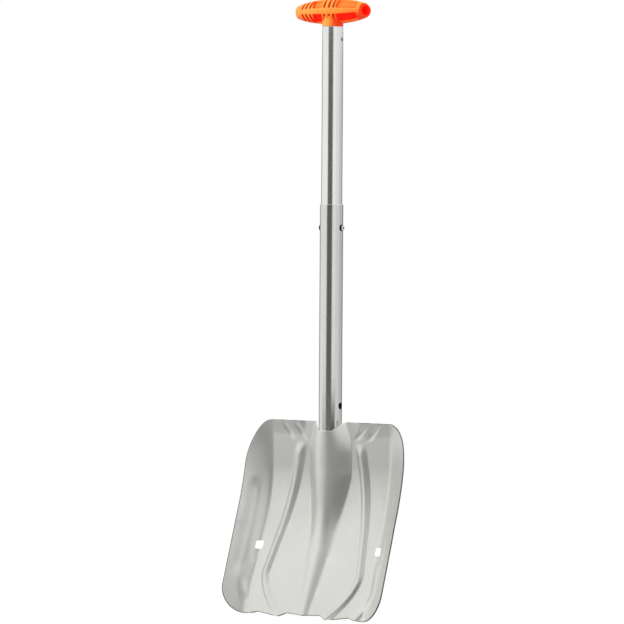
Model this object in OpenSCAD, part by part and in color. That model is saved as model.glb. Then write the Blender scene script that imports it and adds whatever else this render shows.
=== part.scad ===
// Telescopic snow shovel with a T-grip, a two-piece round shaft and a pressed
// sheet blade. Millimetres. The shaft runs along Z and the blade's hollow faces -Y.
// The origin is the centre of the bore along the grip.

/* [Grip] */
// Length of the grip bar
grip_len = 102; // [90:1:125]
// Diameter of the bar at its middle
grip_d = 32; // [29:0.5:38]
// Diameter that the bar tapers to at its ends
grip_end_d = 15.6; // [15:0.1:22]
// Rounding of the bar's left end
grip_end_round = 2; // [1:0.25:3]
// Bore along the bar
grip_bore_d = 11.5; // [9:0.5:12]
// Slant of the bar's right end
grip_end_slant = 22; // [0:1:25]
// Depth of the windows and slots in the bar
grip_pocket = 3.5; // [1:0.1:3.5]
// Plain band left on the bar's front and back, as an angle
grip_band = 30; // [20:1:50]
// Plain spine left on the bar's top, as an angle
grip_spine = 32; // [20:1:50]
// Width of the slots in the bar
grip_slot_w = 2.4; // [1.5:0.1:3]
// Lean of the slots in the left-hand group
grip_slot_lean = 18; // [0:1:25]
// Diameter of the neck, which the lower shaft slides over when pushed in
neck_d = 27; // [25:0.5:27]
// Distance from the bore's axis down to the top of the shaft
neck_drop = 19.5; // [18:0.5:24]
// Length of the grip's plug inside the shaft
plug_len = 30; // [24:1:50]
// Hollow in that plug
plug_bore_d = 16; // [10:0.5:18]

/* [Shaft] */
// Outside diameter of the lower shaft
shaft_d = 30; // [28.5:0.5:34]
// Wall of the lower shaft
shaft_wall = 1.2; // [1:0.1:1.6]
// Wall of the upper shaft
upper_wall = 1.2; // [1:0.1:1.6]
// Running clearance between the shafts, on the radius
slide_gap = 0.2; // [0.15:0.05:0.3]
// Length of the upper shaft
upper_len = 302.5; // [290:0.5:340]
// Length of the lower shaft
lower_len = 375; // [365:1:430]
// Length of the upper shaft that stays in the lower one when drawn out
shaft_overlap = 74.5; // [70:0.5:95]
// Distance between the upper and the lower lock holes
lock_pitch = 229; // [200:1:229]
// Distance of the upper lock holes below the lower shaft's mouth
lock_inset = 30; // [24:1:36]
// Bevel on the ends of both shafts
tube_bevel = 0.4; // [0.2:0.1:0.5]

/* [End plugs] */
// Flange of the plugs in the shafts' lower ends
cap_flange = 1.5; // [1:0.1:2.5]
// Depth of those plugs inside the shafts
cap_depth = 10; // [6:0.5:14]
// Wall of those plugs
cap_wall = 2.5; // [1.5:0.1:4]
// Clearance of a plug in its tube, on the radius
plug_gap = 0.1; // [0.05:0.05:0.2]

/* [Locks] */
// Diameter of a lock button
button_d = 8.5; // [7:0.1:9]
// Clearance of a button in its holes, on the radius
button_gap = 0.25; // [0.2:0.05:0.4]
// Height that a button stands out by
button_proud = 3; // [2:0.1:3.5]
// Height of a button's dome
button_dome = 1.8; // [1:0.1:2]
// Thickness of the spring strip
strip_t = 0.8; // [0.5:0.1:1]
// Width of the spring strip
strip_w = 8; // [6:0.5:9]
// Strip above the button's centre
strip_over = 6; // [5:0.5:8]
// Clearance between the strip and the inside of its tube
strip_gap = 0.4; // [0.3:0.05:0.6]
// Diameter of the button's riveted tail
tail_d = 5; // [3:0.5:6]
// Height of the button's riveted tail
tail_h = 0.8; // [0.5:0.1:1.2]
// Diameter of the pin that holds the grip in the shaft
pin_d = 4; // [3:0.5:5]
// Clearance round that pin in the shaft's wall, on the radius
pin_gap = 0.6; // [0.1:0.1:1]
// Depth of the pin's end below the shaft's surface
pin_inset = 0.4; // [0.2:0.1:0.8]
// Distance of the pin below the top of the shaft
pin_drop = 16.5; // [10:0.5:20]

/* [Blade] */
// Width of the blade
blade_w = 231.6; // [215:1:250]
// Height of the blade, from its top edge to its cutting edge
blade_h = 242; // [225:1:270]
// Thickness of the blade's sheet
sheet_t = 1.8; // [1.2:0.1:2.2]
// Distance of the blade's face behind the shaft's axis
face_back = 2; // [0:0.5:3]
// Distance from the top edge to where the face starts to bend forward
bend_start = 55; // [40:1:70]
// Distance from the top edge to where the bend ends
bend_end = 142; // [120:1:160]
// Angle of the face below the bend
bend_angle = 26.5; // [15:0.5:30]
// Distance from the middle to the foot of the side walls
wall_foot = 84; // [78:1:92]
// Height of the side walls at the top edge
wall_top_h = 8; // [5:0.5:12]
// Greatest height of the side walls
wall_mid_h = 29.5; // [15:0.5:34]
// Distance from the top edge to where the walls are highest
wall_mid_v = 130; // [100:1:160]
// Height of the side walls at the cutting edge
wall_low_h = 19; // [10:0.5:26]
// Depth of the groove along each side wall
wall_groove = 2; // [0:0.25:3]
// Width of the top corners
top_corner_x = 29.5; // [15:0.5:34]
// Height of the top corners
top_corner_v = 60; // [30:1:70]
// Height of the bottom corners
low_corner_v = 36; // [20:1:45]
// Forward lean of the top edge
lip_lean = 2.5; // [0:0.25:4]
// Height of the leaning lip along the top edge
lip_h = 18; // [10:1:24]
// Depth of the creases in the lip
dart_depth = 1.4; // [0:0.1:2.5]
// Distance of the inner crease from the middle
dart_in_x = 45; // [42:1:50]
// Distance of the outer crease from the middle
dart_out_x = 63; // [58:1:70]
// Half width of a crease
dart_half = 6; // [4:0.5:8]
// Slant of the creases towards the middle, as run over fall
dart_lean = 0.7; // [0:0.1:1]
// Height of the wave in the cutting edge
tooth_h = 3.6; // [0:0.2:5]

/* [Ribs] */
// Height of the inner ribs
rib_h = 3; // [1:0.25:4]
// Half width of the inner ribs at their top
rib_half = 9; // [7:0.5:11]
// Half width of the inner ribs where they are widest apart and below
rib_low_half = 6.3; // [5:0.1:8]
// Distance of the inner ribs' top from the top edge
rib_top_v = 34; // [28:1:50]
// Distance of the inner ribs' top from the middle
rib_top_x = 44; // [40:0.5:50]
// Distance of the inner ribs from the middle where they are widest
rib_wide_x = 68.5; // [60:0.5:74]
// Height above the cutting edge where the inner ribs are widest
rib_wide_up = 50; // [35:1:65]
// Distance of the inner ribs' ends from the middle
rib_end_x = 37; // [30:0.5:45]
// Height of the outer ribs
side_rib_h = 1.6; // [1:0.1:3]
// Half width of the outer ribs
side_rib_half = 6; // [4:0.5:7]
// Height above the cutting edge where the outer ribs start
side_rib_up = 64; // [50:1:75]
// Distance of the outer ribs' top from the middle
side_rib_top_x = 91; // [88:0.5:94]
// Distance of the outer ribs from the middle where they are widest
side_rib_wide_x = 96; // [92:0.5:100]
// Height above the cutting edge where the outer ribs are widest
side_rib_wide_up = 39; // [30:1:48]
// Distance of the outer ribs' ends from the middle
side_rib_end_x = 76; // [72:0.5:84]
// Height of the ridge down the middle of the blade
ridge_h = 5.5; // [3:0.25:7]
// Height of that ridge at the cutting edge
ridge_low_h = 2; // [0.5:0.25:4]
// Half width of that ridge at the cutting edge
ridge_low_half = 8; // [6:0.5:12]

/* [Socket] */
// Length of the shaft that the socket takes
socket_depth = 95; // [80:1:110]
// Clearance of the shaft in the socket, on the radius
socket_gap = 0.5; // [0.3:0.1:1]
// Half width of the socket's dome at its foot
dome_half = 31; // [28:0.5:34]
// Half width of the dome at its mouth
mouth_half = 22; // [20:0.5:24]
// Distance from the top edge to where the dome reaches its full width
dome_wide_v = 40; // [30:1:48]
// Half width of the dome at its point
dome_point_half = 9; // [7:0.5:12]
// Half width of the flat bottom of the mouth's dip
mouth_flat_half = 9; // [5:0.5:12]
// Depth of the mouth's dip below the top edge
mouth_dip = 10.5; // [6:0.5:14]
// Distance from the top edge to where the dome starts to fall
dome_fall_v = 66; // [50:1:80]
// Distance from the top edge to the dome's point
dome_point_v = 166; // [150:1:190]
// Thickness of the bracket behind the shaft
bracket_t = 1.8; // [1.2:0.1:2.5]
// Half width of the bracket across its flanges
bracket_half = 42; // [38:0.5:46]
// Distance of the bracket's top below the top edge
bracket_top_v = 12; // [10:1:16]
// Distance of the flanges' top below the top edge
flange_top_v = 28; // [22:1:30]
// Distance of the bracket's lower end below the top edge
bracket_low_v = 75; // [60:1:80]
// Leg of the weld beads
weld_leg = 2.5; // [1.5:0.1:3.5]
// Length of the weld beads beside the flanges
weld_len = 10; // [6:1:11]
// Distance of the blade's lock button below the top edge
blade_lock_v = 45; // [40:1:52]

/* [Sling holes] */
// Distance of the sling holes from the middle
sling_x = 87; // [78:1:92]
// Distance of the sling holes below the top edge
sling_v = 161; // [140:1:185]
// Width and height of the sling holes
sling_size = 10.5; // [8:0.5:13]
// Corner radius of the sling holes
sling_round = 2.5; // [1:0.25:3.5]

/* [Hidden] */
$fn = 96;

// Cuts and pins run this far past the faces that they leave
past = 1;

// Tube radii, each from the one round it
lower_r = shaft_d / 2;
lower_ri = lower_r - shaft_wall;
upper_r = lower_ri - slide_gap;
upper_ri = upper_r - upper_wall;

// Heights along the shaft, counted down from the grip's axis
z_upper_top = -neck_drop;
z_upper_end = z_upper_top - upper_len;
z_lower_top = z_upper_end + shaft_overlap;
z_lower_end = z_lower_top - lower_len;
z_lock = z_lower_top - lock_inset;
z_lock_low = z_lock - lock_pitch;
z_edge = z_lower_end + socket_depth;
z_blade_lock = z_edge - blade_lock_v;
z_pin = z_upper_top - pin_drop;

hole_r = button_d / 2 + button_gap;
half_w = blade_w / 2;
corner_start = half_w - top_corner_x;
dome_h = face_back + lower_r + socket_gap + sheet_t;
face_back_y = face_back + sheet_t;

// ---------------------------------------------------------------- small maths

function unit(t) = min(max(t, 0), 1);
function ease(a, b, t) = let (k = unit((t - a) / (b - a))) k * k * (3 - 2 * k);
function bell(s) = abs(s) < 1 ? pow(1 - s * s, 2) : 0;
function mix(a, b, t) = a + (b - a) * t;

// ---------------------------------------------------------------- blade shape
// A point of the blade is given by x, its distance from the middle, and v, its
// distance below the top edge. The functions give how far the front face of the
// sheet lies along Y.

// The flat face, and its bend towards the cutting edge
bend_slope = tan(bend_angle);
function face_y(v) = let (q = min(max(v, bend_start), bend_end) - bend_start)
    face_back - bend_slope * q * q / (2 * (bend_end - bend_start))
    - bend_slope * max(v - bend_end, 0);

// Height of the side walls over the face
wall_soft = 0.2;
wall_rise = 1.6;
function wall_h(v) = v < wall_mid_v
    ? mix(wall_mid_h, wall_top_h, pow(1 - max(v, 0) / wall_mid_v, wall_rise))
    : mix(wall_mid_h, wall_low_h, (v - wall_mid_v) / (blade_h - wall_mid_v));
function wall_shape(t) = t <= 0 ? 0
    : (sqrt(t * t + wall_soft * wall_soft) - wall_soft)
      / (sqrt(1 + wall_soft * wall_soft) - wall_soft);

// The groove pressed along each wall, at this share of the wall's width
groove_at = 0.62;
groove_half = 0.26;
groove_top_v = 70;
groove_end_up = 42;
groove_fade = 22;
function groove(t, v) = wall_groove * bell((t - groove_at) / groove_half)
    * ease(groove_top_v, groove_top_v + groove_fade, v)
    * (1 - ease(blade_h - groove_end_up - groove_fade, blade_h - groove_end_up, v));

function walls(x, v) = let (t = (x - wall_foot) / (half_w - wall_foot))
    wall_h(v) * wall_shape(t) - groove(t, v);

// Where a rib's middle lies: straight out to its widest, then curving back in
rib_curve = 1.75;
function rib_mid(v, top_v, top_x, wide_v, wide_x, end_x) = v < wide_v
    ? mix(top_x, wide_x, (v - top_v) / (wide_v - top_v))
    : mix(wide_x, end_x, pow((v - wide_v) / (blade_h - wide_v), rib_curve));
// The slope widens a rib along x so that its width across stays even
function rib(x, v, height, half, low_half, top_v, top_x, wide_v, wide_x, end_x) =
    let (step = 1,
         mid = rib_mid(v, top_v, top_x, wide_v, wide_x, end_x),
         next = rib_mid(v + step, top_v, top_x, wide_v, wide_x, end_x),
         slant = sqrt(1 + pow((next - mid) / step, 2)),
         w = mix(half, low_half, unit((v - top_v) / (wide_v - top_v))) * slant)
    height * bell((x - mid) / w) * ease(top_v - half, top_v + half, v);
function ribs(x, v) =
    rib(x, v, rib_h, rib_half, rib_low_half, rib_top_v, rib_top_x,
        blade_h - rib_wide_up, rib_wide_x, rib_end_x)
    + rib(x, v, side_rib_h, side_rib_half, side_rib_half, blade_h - side_rib_up,
        side_rib_top_x, blade_h - side_rib_wide_up, side_rib_wide_x, side_rib_end_x);

// The ridge down the middle, and the dome over the shaft that stands on it
ridge_taper = 1.2;
dome_taper = 1.15;
function flare(v) = mix(mouth_half, dome_half, sin(90 * unit(v / dome_wide_v)));
function narrow(v, low_v, low_half, taper) =
    mix(dome_half, low_half, pow(unit((v - dome_fall_v) / (low_v - dome_fall_v)), taper));
function ridge_half(v) = v < dome_fall_v ? flare(v)
    : narrow(v, blade_h, ridge_low_half, ridge_taper);
function dome_foot(v) = v < dome_fall_v ? flare(v)
    : narrow(v, dome_point_v, dome_point_half, dome_taper);
dome_power = 0.8;
function dome(x, v) = let (s = x / dome_foot(v))
    (dome_h - ridge_h) * (1 - ease(dome_fall_v, dome_point_v, v))
    * (s < 1 ? pow(1 - s * s, dome_power) : 0);
function ridge(x, v) = bell(x / ridge_half(v))
    * mix(ridge_h, ridge_low_h, unit((v - dome_point_v) / (blade_h - dome_point_v)));

// The lip along the top edge, and the creases that stiffen it
lip_from = 46;
lip_blend = 10;
lip_curve = 1.3;
dart_mid_v = 12;
dart_reach = 14;
function lip(x, v) = lip_lean * pow(unit(1 - v / lip_h), lip_curve)
    * ease(lip_from - lip_blend, lip_from, x);
function darts(x, v) = let (shift = dart_lean * (dart_mid_v - v))
    dart_depth * bell((v - dart_mid_v) / dart_reach)
    * (bell((x - dart_in_x - shift) / dart_half)
       + bell((x - dart_out_x - shift) / dart_half));

function front_y(px, v) = let (x = abs(px))
    face_y(v) - walls(x, v) - ribs(x, v) - ridge(x, v) - dome(x, v)
    - lip(x, v) + darts(x, v);

// ---------------------------------------------------------------- blade outline

low_corner_power = 1.8;
function mouth_v(x) = mouth_dip * (1 - ease(mouth_flat_half, mouth_half, x));
function corner_share(x) = unit((x - corner_start) / top_corner_x);
function top_v(x) = x < corner_start ? mouth_v(x)
    : top_corner_v * (1 - sqrt(1 - pow(corner_share(x), 2)));
// The cutting edge dips where the ribs run out through it. Each spot is a distance
// from the middle and the share of the wave's height there.
tooth_flat = 3;
tooth_run = 10;
tooth_spots = [[0, 0.2], [rib_end_x - tooth_flat - tooth_run, -0.2],
    [rib_end_x - tooth_flat, 1], [rib_end_x + tooth_flat, 1],
    [side_rib_end_x - tooth_run, 0], [side_rib_end_x + tooth_flat, 0.8]];
function tooth(x) = lookup(x, tooth_spots);
function low_v(x) = x < corner_start ? blade_h + tooth_h * tooth(x)
    : blade_h + tooth_h * tooth(corner_start) - low_corner_v
      + low_corner_v * pow(1 - pow(corner_share(x), low_corner_power),
                           1 / low_corner_power);

// Columns are even across the face and close up round the corners
mid_cols = 48;
corner_cols = 6;
rows = 40;
cols = mid_cols + 2 * corner_cols;
function right_x(k) = k <= mid_cols / 2 ? corner_start * 2 * k / mid_cols
    : corner_start + top_corner_x * sin(90 * (k - mid_cols / 2) / corner_cols);
function col_x(i) = let (k = i - cols / 2) sign(k) * right_x(abs(k));
// Rows are closer near the top edge, where the small creases are
row_bias = 0.3;
function row_share(j) = let (k = j / rows) k - row_bias * k * (1 - k);

// A point of the front face, and the one behind it across the sheet
tiny = 0.05;
function front_point(x, v) = [x, front_y(x, v), z_edge - v];
function sheet_normal(x, v) = let (
    dx = (front_y(x + tiny, v) - front_y(x - tiny, v)) / (2 * tiny),
    dv = (front_y(x, v + tiny) - front_y(x, v - tiny)) / (2 * tiny),
    n = [-dx, 1, dv]) n / norm(n);
function back_point(x, v) = front_point(x, v) + sheet_t * sheet_normal(x, v);

// Corners of the grid, and the two triangles of each cell
function at(i, j, face) = face * (cols + 1) * (rows + 1) + i * (rows + 1) + j;
function cell(a, b, c, d) = [[a, b, c], [a, c, d]];

module blade_sheet() {
    spots = [for (i = [0:cols], j = [0:rows]) let (x = col_x(i))
        [x, mix(top_v(abs(x)), low_v(abs(x)), row_share(j))]];
    points = concat([for (p = spots) front_point(p[0], p[1])],
                    [for (p = spots) back_point(p[0], p[1])]);
    faces = concat(
        [for (i = [0:cols - 1], j = [0:rows - 1], t = cell(at(i, j, 0), at(i + 1, j, 0),
            at(i + 1, j + 1, 0), at(i, j + 1, 0))) t],
        [for (i = [0:cols - 1], j = [0:rows - 1], t = cell(at(i, j, 1), at(i, j + 1, 1),
            at(i + 1, j + 1, 1), at(i + 1, j, 1))) t],
        [for (i = [0:cols - 1], t = cell(at(i, 0, 0), at(i, 0, 1),
            at(i + 1, 0, 1), at(i + 1, 0, 0))) t],
        [for (i = [0:cols - 1], t = cell(at(i, rows, 0), at(i + 1, rows, 0),
            at(i + 1, rows, 1), at(i, rows, 1))) t],
        [for (j = [0:rows - 1], t = cell(at(0, j, 0), at(0, j + 1, 0),
            at(0, j + 1, 1), at(0, j, 1))) t],
        [for (j = [0:rows - 1], t = cell(at(cols, j, 0), at(cols, j, 1),
            at(cols, j + 1, 1), at(cols, j + 1, 0))) t]);
    polyhedron(points, faces, convexity = 6);
}

// A square with rounded corners, as a flat shape
module round_square(size, r) {
    square([size, size - 2 * r], center = true);
    square([size - 2 * r, size], center = true);
    for (x = [-1, 1], y = [-1, 1])
        translate([x, y] * (size / 2 - r))
            circle(r, $fn = 48);
}

module blade() {
    sling_z = z_edge - sling_v;
    sling_reach = blade_h;
    color("silver")
        difference() {
            blade_sheet();
            for (side = [-1, 1])
                translate([side * sling_x, 0, sling_z])
                    rotate([90, 0, 0])
                        linear_extrude(sling_reach)
                            round_square(sling_size, sling_round);
        }
}

// ---------------------------------------------------------------- socket

bracket_ri = lower_r + socket_gap;
bracket_ro = bracket_ri + bracket_t;

// Half a tube behind the shaft, as a flat shape seen from above
module bracket_arch() {
    difference() {
        union() {
            circle(bracket_ro);
            translate([-bracket_ro, 0])
                square([2 * bracket_ro, face_back_y + bracket_t]);
        }
        circle(bracket_ri);
        translate([-bracket_ro - past, -bracket_ro - past])
            square([2 * (bracket_ro + past), bracket_ro + past + face_back_y]);
    }
}

module bracket_flange(side) {
    inner = side < 0 ? -bracket_half : bracket_ro - bracket_t / 2;
    translate([inner, face_back_y])
        square([bracket_half - bracket_ro + bracket_t / 2, bracket_t]);
}

module socket_back() {
    color("lightgray")
        difference() {
            union() {
                translate([0, 0, z_edge - bracket_low_v])
                    linear_extrude(bracket_low_v - bracket_top_v)
                        bracket_arch();
                translate([0, 0, z_edge - bracket_low_v])
                    linear_extrude(bracket_low_v - flange_top_v)
                        for (side = [-1, 1])
                            bracket_flange(side);
            }
            translate([0, 0, z_blade_lock])
                rotate([-90, 0, 0])
                    cylinder(r = hole_r, h = bracket_ro + past);
        }
}

// A bead in the corner between a flange and the sheet
module bead(length) {
    intersection() {
        cylinder(r = weld_leg, h = length);
        cube([weld_leg, weld_leg, length]);
    }
}

module socket_welds() {
    side_z = z_edge - flange_top_v - weld_len;
    color("gray")
        for (side = [0, 1])
            mirror([side, 0, 0])
                translate([bracket_half, face_back_y, side_z])
                    bead(weld_len);
}

// ---------------------------------------------------------------- shafts

// A round tube with both ends bevelled, from z0 up to z1
module tube(ro, ri, z0, z1) {
    b = tube_bevel;
    rotate_extrude()
        polygon([[ri, z0], [ro - b, z0], [ro, z0 + b], [ro, z1 - b], [ro - b, z1],
            [ri, z1]]);
}

// Holes through both walls along X
module cross_holes(z, ro, r) {
    translate([-ro - past, 0, z])
        rotate([0, 90, 0])
            cylinder(r = r, h = 2 * (ro + past));
}

module upper_shaft() {
    color("gainsboro")
        difference() {
            tube(upper_r, upper_ri, z_upper_end, z_upper_top);
            cross_holes(z_lock, upper_r, hole_r);
            translate([0, 0, z_pin])
                rotate([0, 90, 0])
                    cylinder(r = pin_d / 2 + pin_gap, h = upper_r + past);
        }
}

module lower_shaft() {
    color("gainsboro")
        difference() {
            tube(lower_r, lower_ri, z_lower_end, z_lower_top);
            cross_holes(z_lock, lower_r, hole_r);
            cross_holes(z_lock_low, lower_r, hole_r);
            translate([0, 0, z_blade_lock])
                rotate([-90, 0, 0])
                    cylinder(r = hole_r, h = lower_r + past);
        }
}

// A push-in plug, closed by a flange as wide as its tube
module end_plug(ro, ri, z_end) {
    r = ri - plug_gap;
    rotate_extrude()
        polygon([[0, z_end - cap_flange], [ro - tube_bevel, z_end - cap_flange],
            [ro, z_end - cap_flange + tube_bevel], [ro, z_end], [r, z_end],
            [r, z_end + cap_depth], [r - cap_wall, z_end + cap_depth],
            [r - cap_wall, z_end], [0, z_end]]);
}

module upper_shaft_plug() {
    color("dimgray")
        end_plug(upper_r, upper_ri, z_upper_end);
}

module lower_shaft_plug() {
    color("dimgray")
        end_plug(lower_r, lower_ri, z_lower_end);
}

// ---------------------------------------------------------------- locks

// A strip lies this far from the axis so that its edges clear the tube
function strip_out(ri) = sqrt(ri * ri - strip_w * strip_w / 4) - strip_gap;
hinge_gap = 0.1;

// The clip's foot lies across the plug; a blank leg stands on its far side if asked
module clip_base(ri, z_foot, z_top, blank_leg) {
    out = strip_out(ri);
    reach = out - strip_t - hinge_gap;
    left = blank_leg ? out : reach;
    translate([-left, -strip_w / 2, z_foot])
        cube([left + reach, strip_w, strip_t]);
    if (blank_leg)
        translate([-left, -strip_w / 2, z_foot])
            cube([strip_t, strip_w, z_top - z_foot]);
}

// A leg of the clip with its button, standing out along +X from the tube's axis
module lock_arm(ri, z_foot, z_button, r_end) {
    out = strip_out(ri);
    translate([out - strip_t, -strip_w / 2, z_foot])
        cube([strip_t, strip_w, z_button + strip_over - z_foot]);
    translate([0, 0, z_button])
        rotate([0, 90, 0])
            button(out, r_end);
    translate([out - strip_t - tail_h, 0, z_button])
        rotate([0, 90, 0])
            cylinder(d = tail_d, h = tail_h);
}

// The button's post and its dome, along +Z from r0 to r1
module button(r0, r1) {
    r = button_d / 2;
    ball = (r * r + button_dome * button_dome) / (2 * button_dome);
    intersection() {
        translate([0, 0, r0])
            cylinder(r = r, h = r1 - r0);
        translate([0, 0, r1 - ball])
            sphere(ball);
    }
    translate([0, 0, r0])
        cylinder(r = r, h = r1 - button_dome - r0);
}

z_upper_foot = z_upper_end + cap_depth;
z_lower_foot = z_lower_end + cap_depth;

module lock_clip_base() {
    color("darkgray")
        clip_base(upper_ri, z_upper_foot, z_lock, false);
}

module right_lock_arm() {
    color("whitesmoke")
        lock_arm(upper_ri, z_upper_foot, z_lock, lower_r + button_proud);
}

module left_lock_arm() {
    color("whitesmoke")
        mirror([1, 0, 0])
            lock_arm(upper_ri, z_upper_foot, z_lock, lower_r + button_proud);
}

module blade_clip_base() {
    color("darkgray")
        rotate([0, 0, 90])
            clip_base(lower_ri, z_lower_foot, z_blade_lock, true);
}

module blade_lock_arm() {
    color("whitesmoke")
        rotate([0, 0, 90])
            lock_arm(lower_ri, z_lower_foot, z_blade_lock, bracket_ro + button_proud);
}

// ---------------------------------------------------------------- grip

// The bar's side curve is part of an ellipse that reaches grip_end_d at its ends
bar_r = grip_d / 2;
end_r = grip_end_d / 2;
bar_half = grip_len / 2;
bar_a = bar_half / sqrt(1 - pow(end_r / bar_r, 2));
function bar_radius(x) = bar_r * sqrt(1 - pow(x / bar_a, 2));
bar_steps = 20;

// The bar turned about X, its left end rounded over
module bar_solid() {
    body = bar_half - grip_end_round;
    side = [for (k = [0:bar_steps]) let (x = mix(-body, bar_half, k / bar_steps))
        [bar_radius(x), x]];
    round_r = bar_radius(-body) - grip_end_round;
    nose = [for (a = [0:15:75])
        [round_r + grip_end_round * sin(a), -body - grip_end_round * cos(a)]];
    rotate([0, 90, 0])
        rotate_extrude()
            polygon(concat([[0, -bar_half]], nose, side, [[0, bar_half]]));
}

// Cuts the right end on a slant that faces forward
module end_slant_cut() {
    reach = grip_d;
    translate([bar_half - end_r * tan(grip_end_slant), 0, 0])
        rotate([0, 0, -grip_end_slant])
            translate([0, -reach, -reach])
                cube([reach, 2 * reach, 2 * reach]);
}

// Part of the bar's skin from x0 to x1, over a sector from a0 to a1, as deep as its
// pockets, which follow the bar's taper
skin_step = 4;
module skin_sector(x0, x1, a0, a1) {
    steps = ceil((x1 - x0) / skin_step);
    bottom = [for (k = [0:steps]) let (x = mix(x0, x1, k / steps))
        [bar_radius(x) - grip_pocket, x]];
    rotate([0, 90, 0])
        rotate([0, 0, a0])
            rotate_extrude(angle = a1 - a0)
                polygon(concat(bottom, [[bar_r + past, x1], [bar_r + past, x0]]));
}

// Slots and windows along the bar, as distances from its middle. A lean of 1 or 0
// says whether the slot leans.
slot_spots = [[-37.5, 1], [-31.5, 1], [-25.2, 1], [-4.6, 0], [2.2, 0], [8.7, 0]];
window_spots = [[-21.8, -8.6], [12.4, 39.5]];

// A slot stands square to the bar, or leans towards the middle of the bar's top
module slot_cut(x, lean, a0, a1) {
    intersection() {
        skin_sector(x - bar_r / 2, x + bar_r / 2, a0, a1);
        for (up = [-1, 1])
            translate([x, 0, up * bar_r / 2])
                rotate([0, up * lean * grip_slot_lean, 0])
                    cube([grip_slot_w, 2 * grip_d, bar_r + past], center = true);
    }
}

module pockets() {
    // Each quarter's sector, counted from the bar's underside round its axis
    low = grip_spine / 2;
    high = 90 - grip_band / 2;
    for (quarter = [[low, high], [180 - high, 180 - low],
                    [180 + low, 180 + high], [360 - high, 360 - low]]) {
        for (s = slot_spots)
            slot_cut(s[0], s[1], quarter[0], quarter[1]);
        for (w = window_spots)
            skin_sector(w[0], w[1], quarter[0], quarter[1]);
    }
}

module grip() {
    plug_r = upper_ri - plug_gap;
    neck_top = -bar_r / 2;
    color("orangered")
        difference() {
            union() {
                difference() {
                    bar_solid();
                    pockets();
                    end_slant_cut();
                }
                translate([0, 0, -neck_drop])
                    cylinder(d = neck_d, h = neck_top + neck_drop);
                translate([0, 0, -neck_drop - plug_len])
                    cylinder(r = plug_r, h = plug_len);
            }
            translate([-grip_len, 0, 0])
                rotate([0, 90, 0])
                    cylinder(d = grip_bore_d, h = 2 * grip_len);
            translate([0, 0, -neck_drop - plug_len - past])
                cylinder(d = plug_bore_d, h = plug_len + past);
            translate([0, 0, z_pin])
                rotate([0, 90, 0])
                    cylinder(d = pin_d + 2 * plug_gap, h = upper_r);
        }
}

// The pin ends below the shaft's surface, so that the lower shaft slides over it
module grip_pin() {
    shank_start = plug_bore_d / 2;
    color("gray")
        translate([shank_start, 0, z_pin])
            rotate([0, 90, 0])
                cylinder(d = pin_d, h = upper_r - pin_inset - shank_start);
}

grip();
grip_pin();
upper_shaft();
upper_shaft_plug();
lock_clip_base();
right_lock_arm();
left_lock_arm();
lower_shaft();
lower_shaft_plug();
blade_clip_base();
blade_lock_arm();
blade();
socket_back();
socket_welds();
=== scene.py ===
"""Dresses the packed snow shovel: finer meshes for its visible shells, finishes, studio and camera.

Lengths in the classes are in millimetres, as on the drawing of the part, and are turned into metres
where a mesh is made.
"""

import logging
import math
from dataclasses import dataclass
from enum import Enum
from typing import Any, Callable, Iterable, Sequence

import bmesh
import bpy
from mathutils import Matrix, Vector


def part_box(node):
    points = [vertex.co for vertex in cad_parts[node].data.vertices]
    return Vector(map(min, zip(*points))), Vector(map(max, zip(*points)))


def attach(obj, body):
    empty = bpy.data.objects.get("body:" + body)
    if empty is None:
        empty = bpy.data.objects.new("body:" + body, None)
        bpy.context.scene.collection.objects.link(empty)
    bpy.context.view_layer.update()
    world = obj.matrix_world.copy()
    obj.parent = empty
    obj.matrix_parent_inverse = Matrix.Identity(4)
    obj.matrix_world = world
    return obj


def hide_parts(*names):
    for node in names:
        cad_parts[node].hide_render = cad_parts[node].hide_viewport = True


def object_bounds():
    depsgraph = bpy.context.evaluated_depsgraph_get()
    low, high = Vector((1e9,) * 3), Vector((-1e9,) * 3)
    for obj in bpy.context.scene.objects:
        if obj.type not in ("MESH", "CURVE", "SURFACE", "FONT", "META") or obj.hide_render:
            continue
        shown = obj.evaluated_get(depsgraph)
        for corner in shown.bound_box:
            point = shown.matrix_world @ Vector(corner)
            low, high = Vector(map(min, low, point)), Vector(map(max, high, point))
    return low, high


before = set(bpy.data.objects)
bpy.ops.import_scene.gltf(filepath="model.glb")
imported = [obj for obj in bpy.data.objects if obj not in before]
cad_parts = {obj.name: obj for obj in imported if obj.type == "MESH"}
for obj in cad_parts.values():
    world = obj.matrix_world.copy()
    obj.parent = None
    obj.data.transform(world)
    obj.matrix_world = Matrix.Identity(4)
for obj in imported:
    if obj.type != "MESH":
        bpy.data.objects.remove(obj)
CAD_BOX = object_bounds()
LOG = logging.getLogger("shovel")
MM = 0.001
IMAGE_SIDE = 624
SENSOR_MM = 36.0
MIDDLE = (CAD_BOX[0] + CAD_BOX[1]) / 2
SOCKET_DEPTH = 95.0
DRAWN = (6.0, 6.0, 0.12)
WHITE = (1.0, 1.0, 1.0, 1.0)
CLOUDS = 45.0
GRAINS = 2600.0
Point = tuple[float, float, float]
Colour = tuple[float, float, float]


# ---------------------------------------------------------------- small maths


def unit(t: float) -> float:
    """Clamps t to 0..1."""
    return min(max(t, 0.0), 1.0)


def ease(low: float, high: float, t: float) -> float:
    """Runs smoothly from 0 at low to 1 at high."""
    k = unit((t - low) / (high - low))
    return k * k * (3 - 2 * k)


def bell(s: float) -> float:
    """A soft bump of height 1 that ends at s = -1 and 1."""
    return (1 - s * s) ** 2 if abs(s) < 1 else 0.0


def mix(a: float, b: float, t: float) -> float:
    """The value t of the way from a to b."""
    return a + (b - a) * t


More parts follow.
